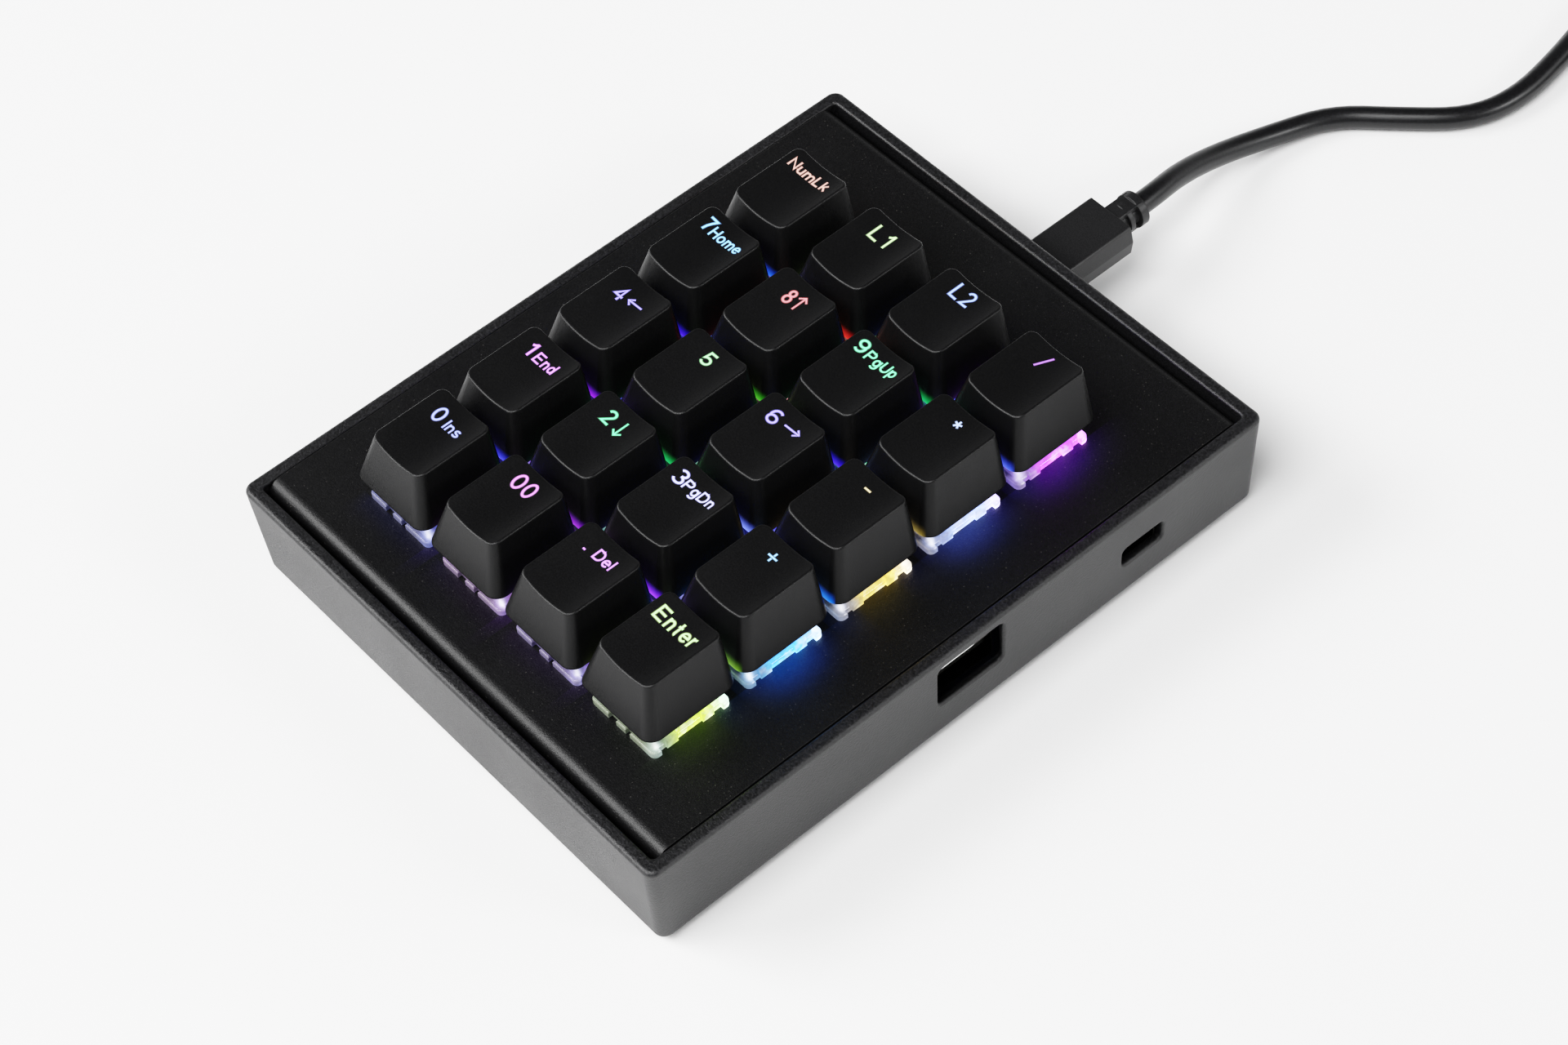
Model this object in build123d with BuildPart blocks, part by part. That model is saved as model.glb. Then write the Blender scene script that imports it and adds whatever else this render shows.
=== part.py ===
"""Mechanical numeric keypad: 20 sprung keys on a folded steel plate in a moulded tray.

Millimetres. +X is the right side, +Y the back, +Z up. The origin is on the surface that the
rubber feet stand on, under the middle of the tray.
"""

import os
from math import tan, radians, sqrt, pi

from build123d import *

# ---- driving dimensions --------------------------------------------------------------------
CASE_WIDTH = 105.4
CASE_DEPTH = 130.0
CASE_HEIGHT = 20.0
CASE_DRAFT = 1.0
CASE_CORNER = 2.0
WALL = 2.5
FLOOR = 2.5
FOOT_HEIGHT = 1.2

PITCH = 19.05
COLUMNS = 4
ROWS = 5
BLOCK_Y = -4.7

PLATE_THICK = 1.5
PLATE_BEND = 2.4
PLATE_FOLD = 7.0
PLATE_SIDE_GAP = 0.2
PLATE_END_GAP = 1.1
CUTOUT = 14.0

PCB_BELOW_PLATE = 5.0
PCB_THICK = 1.6

FLANGE = 15.6
FLANGE_HEIGHT = 1.2
HOUSING_HEIGHT = 6.6
STEM_BLOCK = (6.8, 5.7)
STEM_GAP = 0.1

CAP_BASE = 18.1
CAP_TOP_WIDTH = 12.5
CAP_TOP_DEPTH = 14.85
CAP_TOP_SHIFT = 1.575
CAP_CLEAR = 5.8
CAP_HEIGHT = 9.4
CAP_DISH = 0.9
CAP_WALL = 1.2

CABLE = 4.2
CABLE_X = -2.0
COIL_CENTRE = (45.2, 210.0)
COIL_RADII = (29.4, 25.2, 21.0, 16.8)

# ---- levels that follow ---------------------------------------------------------------------
TRAY_Z = FOOT_HEIGHT
RIM_Z = TRAY_Z + CASE_HEIGHT
PLATE_Z = RIM_Z
PLATE_UNDER = PLATE_Z - PLATE_THICK
PCB_TOP = PLATE_Z - PCB_BELOW_PLATE
PCB_UNDER = PCB_TOP - PCB_THICK
FLANGE_TOP = PLATE_Z + FLANGE_HEIGHT
HOUSING_TOP = PLATE_Z + HOUSING_HEIGHT
SKIRT_Z = PLATE_Z + CAP_CLEAR
CAP_TOP_Z = SKIRT_Z + CAP_HEIGHT
FLOOR_TOP = TRAY_Z + FLOOR

INNER_X = CASE_WIDTH / 2 - WALL
INNER_Y = CASE_DEPTH / 2 - WALL
SOCKET_Z = 11.1
SIDE_MINI_Y = 38.0
USB_A_Y = 0.35
USB_A_HOLE_Z = 13.75

SCREW_PLACES = [(x, y) for x in (-44.0, 44.0) for y in (-50.0, 20.0, 52.0)]
FOOT_PLACES = [(x, y) for x in (-35.0, 35.0) for y in (-56.0, 56.0)]
STANDOFF_BOTTOM = 8.0

KEY_ROWS = (
    ("num_lock", "l1", "l2", "divide"),
    ("7", "8", "9", "multiply"),
    ("4", "5", "6", "minus"),
    ("1", "2", "3", "plus"),
    ("0", "00", "point", "enter"),
)


def key_place(row, column):
    """Centre of a key, row 0 at the back and column 0 at the left."""
    x = (column - (COLUMNS - 1) / 2) * PITCH
    y = BLOCK_Y + ((ROWS - 1) / 2 - row) * PITCH
    return (x, y)


KEY_PLACES = [key_place(r, c) for r in range(ROWS) for c in range(COLUMNS)]

os.makedirs("parts", exist_ok=True)


def save(part, name):
    """Label one sub-part and write its STEP file."""
    part.label = name
    export_step(part, f"parts/{name}.step")


# ---- tray -----------------------------------------------------------------------------------
with BuildPart() as case_tray:
    with BuildSketch(Plane.XY.offset(TRAY_Z)):
        RectangleRounded(CASE_WIDTH - 2 * CASE_DRAFT, CASE_DEPTH - 2 * CASE_DRAFT, CASE_CORNER)
    with BuildSketch(Plane.XY.offset(RIM_Z)):
        RectangleRounded(CASE_WIDTH, CASE_DEPTH, CASE_CORNER)
    loft()
    fillet(case_tray.edges().group_by(Axis.Z)[-1], 0.7)
    fillet(case_tray.edges().group_by(Axis.Z)[0], 1.2)
    with BuildSketch(Plane.XY.offset(FLOOR_TOP)):
        RectangleRounded(2 * INNER_X, 2 * INNER_Y, 0.8)
    extrude(amount=CASE_HEIGHT, mode=Mode.SUBTRACT)
    inner_rim = case_tray.edges().filter_by(
        lambda e: abs(e.center().Z - RIM_Z) < 0.01
        and abs(e.center().X) < INNER_X + 0.05
        and abs(e.center().Y) < INNER_Y + 0.05
    )
    fillet(inner_rim, 0.35)
    # screw bosses
    with BuildSketch(Plane.XY.offset(FLOOR_TOP)):
        with Locations(*SCREW_PLACES):
            Circle(4.2)
    extrude(amount=STANDOFF_BOTTOM - FLOOR_TOP)
    with BuildSketch(Plane.XY.offset(TRAY_Z)):
        with Locations(*SCREW_PLACES):
            Circle(1.65)
    extrude(amount=10, mode=Mode.SUBTRACT)
    with BuildSketch(Plane.XY.offset(TRAY_Z)):
        with Locations(*SCREW_PLACES):
            Circle(3.1)
    extrude(amount=2.2, mode=Mode.SUBTRACT)
    # seats of the feet
    with BuildSketch(Plane.XY.offset(TRAY_Z)):
        with Locations(*FOOT_PLACES):
            Circle(4.6)
    extrude(amount=0.5, mode=Mode.SUBTRACT)
    # USB-A opening in the right wall
    with BuildSketch(Plane.YZ.offset(INNER_X - 1)):
        with Locations((USB_A_Y, USB_A_HOLE_Z)):
            RectangleRounded(13.8, 9.9, 1.2)
    extrude(amount=10, mode=Mode.SUBTRACT)
    # the wall is thinner round the USB-A opening
    with BuildSketch(Plane.YZ.offset(INNER_X - 1)):
        with Locations((USB_A_Y, USB_A_HOLE_Z)):
            RectangleRounded(15.8, 11.9, 1.2)
    extrude(amount=WALL + 1 - 1.35, mode=Mode.SUBTRACT)
    # mini USB openings in the right wall and the back wall, each with a seat for its socket
    with BuildSketch(Plane.YZ.offset(INNER_X - 1)):
        with Locations((SIDE_MINI_Y, SOCKET_Z)):
            RectangleRounded(8.9, 4.4, 0.9)
    extrude(amount=10, mode=Mode.SUBTRACT)
    with BuildSketch(Plane.YZ.offset(INNER_X - 1)):
        with Locations((SIDE_MINI_Y, SOCKET_Z)):
            Rectangle(8.3, 4.6)
    extrude(amount=1.8, mode=Mode.SUBTRACT)
    with BuildSketch(Plane.XZ.offset(-INNER_Y + 1)):
        with Locations((CABLE_X, SOCKET_Z)):
            RectangleRounded(8.9, 4.4, 0.9)
    extrude(amount=-10, mode=Mode.SUBTRACT)
    with BuildSketch(Plane.XZ.offset(-INNER_Y + 1)):
        with Locations((CABLE_X, SOCKET_Z)):
            Rectangle(8.3, 4.6)
    extrude(amount=-1.8, mode=Mode.SUBTRACT)
    side_mouths = case_tray.faces().filter_by(
        lambda f: f.center().X > CASE_WIDTH / 2 - CASE_DRAFT and abs(f.normal_at().X) > 0.99
    )
    mouth_edges = side_mouths.edges().filter_by(
        lambda e: TRAY_Z + 3 < e.center().Z < RIM_Z - 1.5
        and (abs(e.center().Y - USB_A_Y) < 7.5 or abs(e.center().Y - SIDE_MINI_Y) < 5)
    )
    chamfer(mouth_edges, 0.35)
save(case_tray.part, "case_tray")

# ---- feet, screws and standoffs --------------------------------------------------------------
with BuildPart() as rubber_feet:
    with BuildSketch():
        with Locations(*FOOT_PLACES):
            Circle(4.5)
    extrude(amount=FOOT_HEIGHT + 0.5)
    chamfer(rubber_feet.edges().group_by(Axis.Z)[0], 0.3)
save(rubber_feet.part, "rubber_feet")

SCREW_HEAD_Z = TRAY_Z + 2.2
with BuildPart() as case_screws:
    with BuildSketch(Plane.XY.offset(SCREW_HEAD_Z - 1.7)):
        with Locations(*SCREW_PLACES):
            Circle(2.8)
    extrude(amount=1.7)
    fillet(case_screws.edges().group_by(Axis.Z)[0], 0.5)
    with BuildSketch(Plane.XY.offset(SCREW_HEAD_Z)):
        with Locations(*SCREW_PLACES):
            Circle(1.45)
    extrude(amount=8.5)
    with BuildSketch(Plane.XY.offset(SCREW_HEAD_Z - 1.7)):
        with Locations(*SCREW_PLACES):
            Rectangle(3.2, 0.7)
            Rectangle(0.7, 3.2)
    extrude(amount=1.0, mode=Mode.SUBTRACT)
save(case_screws.part, "case_screws")

with BuildPart() as plate_standoffs:
    with BuildSketch(Plane.XY.offset(STANDOFF_BOTTOM)):
        with Locations(*SCREW_PLACES):
            Circle(2.6)
    extrude(amount=PLATE_UNDER - STANDOFF_BOTTOM)
    with BuildSketch(Plane.XY.offset(STANDOFF_BOTTOM)):
        with Locations(*SCREW_PLACES):
            Circle(1.5)
    extrude(amount=5, mode=Mode.SUBTRACT)
save(plate_standoffs.part, "plate_standoffs")

# ---- switch plate: one sheet with its front and back edges folded down -------------------------
PLATE_HALF_Y = INNER_Y - PLATE_END_GAP
PLATE_HALF_X = INNER_X - PLATE_SIDE_GAP
with BuildPart() as switch_plate:
    with BuildSketch(Plane.YZ.offset(-PLATE_HALF_X)):
        with Locations((0, PLATE_Z - PLATE_FOLD / 2)):
            Rectangle(2 * PLATE_HALF_Y, PLATE_FOLD)
    extrude(amount=2 * PLATE_HALF_X)
    fillet(switch_plate.edges().filter_by(Axis.X).group_by(Axis.Z)[-1], PLATE_BEND)
    with BuildSketch(Plane.YZ.offset(-PLATE_HALF_X)):
        with BuildLine():
            inner_y = PLATE_HALF_Y - PLATE_THICK
            low = PLATE_Z - PLATE_FOLD
            FilletPolyline(
                (-inner_y, low),
                (-inner_y, PLATE_UNDER),
                (inner_y, PLATE_UNDER),
                (inner_y, low),
                radius=PLATE_BEND - PLATE_THICK,
            )
            Line((inner_y, low), (-inner_y, low))
        make_face()
    extrude(amount=2 * PLATE_HALF_X, mode=Mode.SUBTRACT)
    with BuildSketch(Plane.XY.offset(PLATE_Z)):
        with Locations(*KEY_PLACES):
            RectangleRounded(CUTOUT, CUTOUT, 0.4)
    extrude(amount=-2 * PLATE_THICK, mode=Mode.SUBTRACT)
save(switch_plate.part, "switch_plate")

# ---- circuit board with its controller chip ---------------------------------------------------
PIN_A = (3.81, -2.54)
PIN_B = (-2.54, -5.08)
LED_Y = 4.6
with BuildPart() as circuit_board:
    with BuildSketch(Plane.XY.offset(PCB_UNDER)):
        Rectangle(2 * 48.0, 2 * 58.5)
        with Locations(*SCREW_PLACES):
            Circle(3.0, mode=Mode.SUBTRACT)
        with Locations(*KEY_PLACES):
            Circle(2.05, mode=Mode.SUBTRACT)
        with Locations(*[(x + PIN_A[0], y + PIN_A[1]) for x, y in KEY_PLACES]):
            Circle(0.75, mode=Mode.SUBTRACT)
        with Locations(*[(x + PIN_B[0], y + PIN_B[1]) for x, y in KEY_PLACES]):
            Circle(0.75, mode=Mode.SUBTRACT)
    extrude(amount=PCB_THICK)
    with BuildSketch(Plane.XY.offset(PCB_UNDER)):
        with Locations((-20.0, 48.0)):
            Rectangle(7.0, 7.0)
    extrude(amount=-1.2)
save(circuit_board.part, "circuit_board")

# ---- one switch, drawn at the origin and repeated under every key ------------------------------
with BuildPart() as lower_housing:
    with BuildSketch(Plane.XY.offset(PLATE_Z)):
        RectangleRounded(FLANGE, FLANGE, 1.0)
        # the sides stand back between the corner lugs
        with Locations((FLANGE / 2, 0), (-FLANGE / 2, 0)):
            Rectangle(1.5, 12.4, mode=Mode.SUBTRACT)
        # the front and back edges have two notches beside a middle tab
        with Locations((-2.35, -FLANGE / 2), (2.35, FLANGE / 2)):
            Rectangle(1.9, 1.5, mode=Mode.SUBTRACT)
        with Locations((1.4, -FLANGE / 2), (-1.4, FLANGE / 2)):
            Rectangle(1.0, 1.5, mode=Mode.SUBTRACT)
    extrude(amount=FLANGE_HEIGHT)
    chamfer(lower_housing.edges().group_by(Axis.Z)[-1], 0.2)
    with BuildSketch(Plane.XY.offset(PLATE_UNDER - 1.5)):
        RectangleRounded(13.9, 13.9, 0.4)
    extrude(amount=PLATE_THICK + 1.5)
    with BuildSketch(Plane.XY.offset(PCB_TOP)):
        RectangleRounded(12.9, 12.9, 0.6)
    extrude(amount=PLATE_UNDER - 1.5 - PCB_TOP)
    # centring post through the board
    with BuildSketch(Plane.XY.offset(PCB_TOP - 3.3)):
        Circle(1.95)
    extrude(amount=3.3)
    # clips under the plate
    with BuildSketch(Plane.XY.offset(PLATE_UNDER - 1.0)):
        with Locations((7.05, 0), (-7.05, 0)):
            Rectangle(0.5, 4.0)
    extrude(amount=0.95)
    with BuildSketch(Plane.XY.offset(PCB_TOP + 1.0)):
        RectangleRounded(11.7, 11.7, 0.6)
    extrude(amount=10, mode=Mode.SUBTRACT)
    with BuildSketch(Plane.XY.offset(PCB_TOP - 2.5)):
        Circle(1.45)
    extrude(amount=5, mode=Mode.SUBTRACT)
    # window over the light and holes for the two contacts
    with BuildSketch(Plane.XY.offset(PCB_TOP)):
        with Locations((0, LED_Y)):
            Rectangle(3.7, 3.0)
        with Locations(PIN_A, PIN_B):
            Circle(0.7)
    extrude(amount=1.5, mode=Mode.SUBTRACT)

with BuildPart() as upper_housing:
    with BuildSketch(Plane.XY.offset(FLANGE_TOP)):
        RectangleRounded(14.0, 14.0, 1.2)
    with BuildSketch(Plane.XY.offset(HOUSING_TOP)):
        RectangleRounded(10.4, 10.4, 1.0)
    loft()
    with BuildSketch(Plane.XY.offset(FLANGE_TOP)):
        RectangleRounded(11.9, 11.9, 0.8)
    with BuildSketch(Plane.XY.offset(HOUSING_TOP - 1.0)):
        RectangleRounded(8.9, 8.9, 0.6)
    loft(mode=Mode.SUBTRACT)
    with BuildSketch(Plane.XY.offset(HOUSING_TOP - 1.5)):
        Rectangle(STEM_BLOCK[0] + 2 * STEM_GAP, STEM_BLOCK[1] + 2 * STEM_GAP)
    extrude(amount=3, mode=Mode.SUBTRACT)
    # clips down over the lower housing's sides
    with BuildSketch(Plane.XY.offset(PLATE_Z + 0.2)):
        with Locations(*[(sx * 7.32, y) for sx in (-1, 1) for y in (-3.8, 3.4)]):
            Rectangle(0.46, 2.2)
    extrude(amount=FLANGE_HEIGHT + 0.8)
    with BuildSketch(Plane.XY.offset(FLANGE_TOP)):
        with Locations(*[(sx * 6.9, y) for sx in (-1, 1) for y in (-3.8, 3.4)]):
            Rectangle(1.0, 2.2)
    extrude(amount=1.0)

STEM_FOOT = PLATE_Z + 3.0
STEM_SHOULDER = HOUSING_TOP + 0.1
with BuildPart() as stem_master:
    with BuildSketch(Plane.XY.offset(STEM_FOOT)):
        RectangleRounded(8.2, 6.9, 0.4)
    extrude(amount=HOUSING_TOP - 1.1 - STEM_FOOT)
    with BuildSketch(Plane.XY.offset(STEM_FOOT)):
        Rectangle(*STEM_BLOCK)
    extrude(amount=STEM_SHOULDER - STEM_FOOT)
    with BuildSketch(Plane.XY.offset(STEM_SHOULDER)):
        Rectangle(4.0, 1.27)
        Rectangle(1.1, 4.0)
    extrude(amount=3.6)
    with BuildSketch(Plane.XY.offset(STEM_FOOT)):
        Circle(2.4)
    extrude(amount=2.0, mode=Mode.SUBTRACT)
    with BuildSketch(Plane.XY.offset(STEM_FOOT - 5.3)):
        Circle(1.2)
    extrude(amount=7.4)

SPRING_FOOT = PCB_TOP + 1.0
SPRING_TOP = STEM_FOOT + 2.0
WIRE = 0.32
with BuildPart() as spring_master:
    with BuildLine(Plane.XY.offset(SPRING_FOOT + WIRE / 2)) as spring_line:
        Helix(pitch=1.45, height=SPRING_TOP - SPRING_FOOT - WIRE, radius=1.95)
    with BuildSketch(Plane(origin=spring_line.line @ 0, z_dir=spring_line.line % 0)):
        Circle(WIRE / 2)
    sweep()

with BuildPart() as contact_master:
    # two pins, each with a foot and a leaf that stands inside the housing
    with BuildSketch(Plane.XY.offset(PCB_TOP - 3.2)):
        with Locations(PIN_A, PIN_B):
            Circle(0.6)
    extrude(amount=4.6)
    with BuildSketch(Plane.XY.offset(PCB_TOP + 1.05)):
        with Locations((4.15, PIN_A[1])):
            Rectangle(1.9, 1.2)
        with Locations((-3.5, PIN_B[1])):
            Rectangle(3.2, 1.2)
    extrude(amount=0.35)
    with BuildSketch(Plane.XY.offset(PCB_TOP + 1.05)):
        with Locations((4.95, -0.6)):
            Rectangle(0.3, 5.1)
        with Locations((-4.95, -2.0)):
            Rectangle(0.3, 7.3)
    extrude(amount=5.2)

with BuildPart() as led_master:
    with BuildSketch(Plane.XY.offset(PCB_TOP)):
        with Locations((0, LED_Y)):
            Rectangle(3.4, 2.6)
    extrude(amount=1.4)
    with BuildSketch(Plane.XY.offset(PCB_TOP + 1.4)):
        with Locations((0, LED_Y)):
            Circle(1.0)
    extrude(amount=-0.3, mode=Mode.SUBTRACT)


def under_every_key(master):
    """Twenty separate copies of a switch piece, one under each key."""
    copies = [Pos(x, y, 0) * master for x, y in KEY_PLACES]
    return Compound(children=copies)


save(under_every_key(lower_housing.part), "switch_lower_housings")
save(under_every_key(upper_housing.part), "switch_upper_housings")
save(under_every_key(spring_master.part), "switch_springs")
save(under_every_key(contact_master.part), "switch_contacts")
save(under_every_key(led_master.part), "switch_leds")

# ---- keycap ---------------------------------------------------------------------------------
DISH_RADIUS = ((CAP_TOP_WIDTH / 2) ** 2 + CAP_DISH**2) / (2 * CAP_DISH)
CAVITY_TOP = CAP_TOP_Z - CAP_DISH - 1.6
BOSS_FOOT = STEM_SHOULDER + 0.05
with BuildPart() as keycap_master:
    with BuildSketch(Plane.XY.offset(SKIRT_Z)):
        RectangleRounded(CAP_BASE, CAP_BASE, 2.5)
    with BuildSketch(Plane.XY.offset(CAP_TOP_Z)):
        with Locations((0, CAP_TOP_SHIFT)):
            RectangleRounded(CAP_TOP_WIDTH, CAP_TOP_DEPTH, 1.6)
    loft()
    # the finger dish is part of a cylinder that runs front to back
    with BuildSketch(Plane.XZ):
        with Locations((0, CAP_TOP_Z - CAP_DISH + DISH_RADIUS)):
            Circle(DISH_RADIUS)
    extrude(amount=CAP_BASE, both=True, mode=Mode.SUBTRACT)
    dish = keycap_master.faces().filter_by(GeomType.CYLINDER).sort_by(SortBy.AREA)[-1]
    fillet(dish.edges(), 0.3)
    # hollow underneath
    with BuildSketch(Plane.XY.offset(SKIRT_Z)):
        RectangleRounded(CAP_BASE - 2 * CAP_WALL, CAP_BASE - 2 * CAP_WALL, 1.5)
    with BuildSketch(Plane.XY.offset(CAVITY_TOP)):
        with Locations((0, CAP_TOP_SHIFT)):
            RectangleRounded(CAP_TOP_WIDTH - 2.6, CAP_TOP_DEPTH - 2.6, 0.8)
    loft(mode=Mode.SUBTRACT)
    # boss that grips the stem, with two ribs to the side walls
    with BuildSketch(Plane.XY.offset(BOSS_FOOT)):
        Circle(2.75)
    extrude(amount=CAVITY_TOP + 0.2 - BOSS_FOOT)
    with BuildSketch(Plane.XY.offset(CAVITY_TOP - 1.4)):
        Rectangle(CAP_TOP_WIDTH - 2.0, 1.0)
    extrude(amount=1.6)
    with BuildSketch(Plane.XY.offset(BOSS_FOOT)):
        Rectangle(4.1, 1.37)
        Rectangle(1.2, 4.1)
    extrude(amount=3.8, mode=Mode.SUBTRACT)

for row, names in enumerate(KEY_ROWS):
    for column, name in enumerate(names):
        key_x, key_y = key_place(row, column)
        with BuildPart() as keycap:
            with Locations((key_x, key_y, 0)):
                add(keycap_master.part)
        save(keycap.part, f"keycap_{name}")
        with BuildPart() as stem:
            with Locations((key_x, key_y, 0)):
                add(stem_master.part)
        save(stem.part, f"stem_{name}")

# ---- sockets --------------------------------------------------------------------------------
SOCKET_MOUTH = INNER_Y + 0.7


def mini_socket(frame):
    """A mini USB socket whose mouth faces along the frame's normal, as shell and tongue."""
    with BuildPart() as socket:
        with BuildSketch(frame):
            RectangleRounded(7.7, 4.0, 0.5)
        extrude(amount=-8.5)
        with BuildSketch(frame):
            RectangleRounded(7.1, 3.4, 0.4)
        extrude(amount=-7.3, mode=Mode.SUBTRACT)
        # legs up to the board
        with BuildSketch(frame.offset(-6.0)):
            with Locations((-3.2, 2.6), (3.2, 2.6)):
                Rectangle(0.9, 1.8)
        extrude(amount=-2.0)
        with BuildSketch(frame.offset(-7.3)):
            Rectangle(4.2, 0.9)
        extrude(amount=6.6)
    return socket.part


rear_frame = Plane(origin=(CABLE_X, SOCKET_MOUTH, SOCKET_Z), x_dir=(-1, 0, 0), z_dir=(0, 1, 0))
side_frame = Plane(
    origin=(INNER_X + 0.7, SIDE_MINI_Y, SOCKET_Z), x_dir=(0, 1, 0), z_dir=(1, 0, 0)
)
save(Compound(children=[mini_socket(rear_frame), mini_socket(side_frame)]), "mini_usb_sockets")

USB_A_MOUTH = INNER_X - 0.2
USB_A_HEIGHT = 5.7
with BuildPart() as usb_a_shell:
    with BuildSketch(Plane.YZ.offset(USB_A_MOUTH)):
        with Locations((USB_A_Y, PCB_UNDER - USB_A_HEIGHT / 2)):
            RectangleRounded(13.1, USB_A_HEIGHT, 0.5)
    extrude(amount=-14.0)
    with BuildSketch(Plane.YZ.offset(USB_A_MOUTH)):
        with Locations((USB_A_Y, PCB_UNDER - USB_A_HEIGHT / 2)):
            RectangleRounded(12.5, USB_A_HEIGHT - 0.6, 0.3)
    extrude(amount=-13.5, mode=Mode.SUBTRACT)
with BuildPart() as usb_a_tongue:
    with BuildSketch(Plane.YZ.offset(USB_A_MOUTH - 13.5)):
        with Locations((USB_A_Y, PCB_UNDER - USB_A_HEIGHT / 2)):
            Rectangle(12.4, USB_A_HEIGHT - 0.7)
    extrude(amount=3.0)
    with BuildSketch(Plane.YZ.offset(USB_A_MOUTH - 10.5)):
        with Locations((USB_A_Y, PCB_UNDER - 1.9)):
            Rectangle(11.1, 1.9)
    extrude(amount=9.6)
save(Compound(children=[usb_a_shell.part, usb_a_tongue.part]), "usb_a_socket")

# ---- cable plug at the back of the tray --------------------------------------------------------
PLUG_FACE = CASE_DEPTH / 2 - 0.15
PLUG_LENGTH = 18.1
PLUG_END = PLUG_FACE + PLUG_LENGTH
PLUG_HEIGHT = 6.8
RELIEF_END = PLUG_END + 6.2

plug_plane = Plane(origin=(CABLE_X, PLUG_FACE, SOCKET_Z), x_dir=(-1, 0, 0), z_dir=(0, 1, 0))
with BuildPart() as plug_body:
    with BuildSketch(plug_plane):
        Polygon(
            (-5.0, PLUG_HEIGHT / 2),
            (5.0, PLUG_HEIGHT / 2),
            (5.6, 0),
            (5.0, -PLUG_HEIGHT / 2),
            (-5.0, -PLUG_HEIGHT / 2),
            (-5.6, 0),
        )
    extrude(amount=PLUG_LENGTH)
    fillet(plug_body.edges().filter_by(Axis.Y), 0.6)
    # strain relief: two rings on a bar above and a bar below the cable
    with BuildSketch(plug_plane.offset(PLUG_LENGTH)):
        Circle(CABLE / 2 + 0.15)
    extrude(amount=6.2)
    for start, end, radius in ((2.2, 3.2, 3.0), (4.6, 6.2, 3.3)):
        with BuildSketch(plug_plane.offset(PLUG_LENGTH + start)):
            Circle(radius)
        extrude(amount=end - start)
    with BuildSketch(plug_plane.offset(PLUG_LENGTH - 0.5)):
        with Locations((0, -2.3), (0, 2.3)):
            Rectangle(3.6, 1.2)
    extrude(amount=6.0)
save(plug_body.part, "plug_body")

with BuildPart() as plug_shell:
    with BuildSketch(plug_plane):
        RectangleRounded(6.8, 3.1, 0.4)
    extrude(amount=-6.8)
    with BuildSketch(plug_plane.offset(-6.8)):
        RectangleRounded(6.2, 2.5, 0.3)
    extrude(amount=6.3, mode=Mode.SUBTRACT)
save(plug_shell.part, "plug_shell")

# ---- cable: the stretch from the plug to the coil ----------------------------------------------
CABLE_R = CABLE / 2
COIL_LEFT = COIL_CENTRE[0] - COIL_RADII[0]
ROUTE = [
    (CABLE_X, RELIEF_END, SOCKET_Z),
    (CABLE_X, 93.0, SOCKET_Z),
    (-3.9, 101.4, 9.0),
    (-4.9, 112.0, 5.4),
    (-3.4, 123.9, 2.6),
    (0.4, 135.3, CABLE_R),
    (9.2, 143.3, CABLE_R),
    (18.1, 152.1, CABLE_R),
    (20.7, 162.5, CABLE_R),
    (18.8, 175.8, CABLE_R),
    (COIL_LEFT, 188.5, CABLE_R),
    (COIL_LEFT, 199.5, CABLE_R),
]


def corner_radii(points):
    """The largest arc that each corner's two runs allow."""
    radii = []
    for before, corner, after in zip(points, points[1:], points[2:]):
        a = Vector(*corner) - Vector(*before)
        b = Vector(*after) - Vector(*corner)
        turn = radians(a.get_angle(b))
        radii.append(0.45 * min(a.length, b.length) / tan(turn / 2))
    return radii


route_radii = corner_radii(ROUTE)
print("cable corner radii", [round(r, 1) for r in route_radii])
with BuildPart() as cable_lead:
    with BuildLine() as lead_line:
        FilletPolyline(*ROUTE, radius=route_radii)
    with BuildSketch(Plane(origin=lead_line.line @ 0, z_dir=lead_line.line % 0)):
        Circle(CABLE_R)
    sweep()
lead_length = lead_line.wire().length
lead_ratio = cable_lead.part.volume / (pi * CABLE_R**2 * lead_length)
print("cable lead length", round(lead_length, 1), "volume ratio", round(lead_ratio, 4))
save(cable_lead.part, "cable_lead")

# ---- the stored coil: two layers of four turns ---------------------------------------------------
COIL_HEIGHT = 2 * CABLE
with BuildPart() as cable_coil:
    with BuildSketch(Plane.XY):
        with Locations(COIL_CENTRE):
            Circle(COIL_RADII[0] + CABLE_R)
            Circle(COIL_RADII[-1] - CABLE_R, mode=Mode.SUBTRACT)
    extrude(amount=COIL_HEIGHT)
    fillet(cable_coil.edges().group_by(Axis.Z)[-1], 1.8)
    fillet(cable_coil.edges().group_by(Axis.Z)[0], 1.8)
save(cable_coil.part, "cable_coil")

TIE_RADIUS = (COIL_RADII[0] + COIL_RADII[-1]) / 2
tie_plane = Plane(
    origin=(COIL_CENTRE[0], COIL_CENTRE[1] + TIE_RADIUS, COIL_HEIGHT / 2 + 0.4),
    x_dir=(0, 1, 0),
    z_dir=(1, 0, 0),
)
with BuildPart() as cable_tie:
    with BuildSketch(tie_plane.offset(-4.5)):
        RectangleRounded(18.6, COIL_HEIGHT + 0.8, 2.4)
        RectangleRounded(17.0, COIL_HEIGHT - 0.8, 1.6, mode=Mode.SUBTRACT)
    extrude(amount=9.0)
save(cable_tie.part, "cable_tie")

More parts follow.
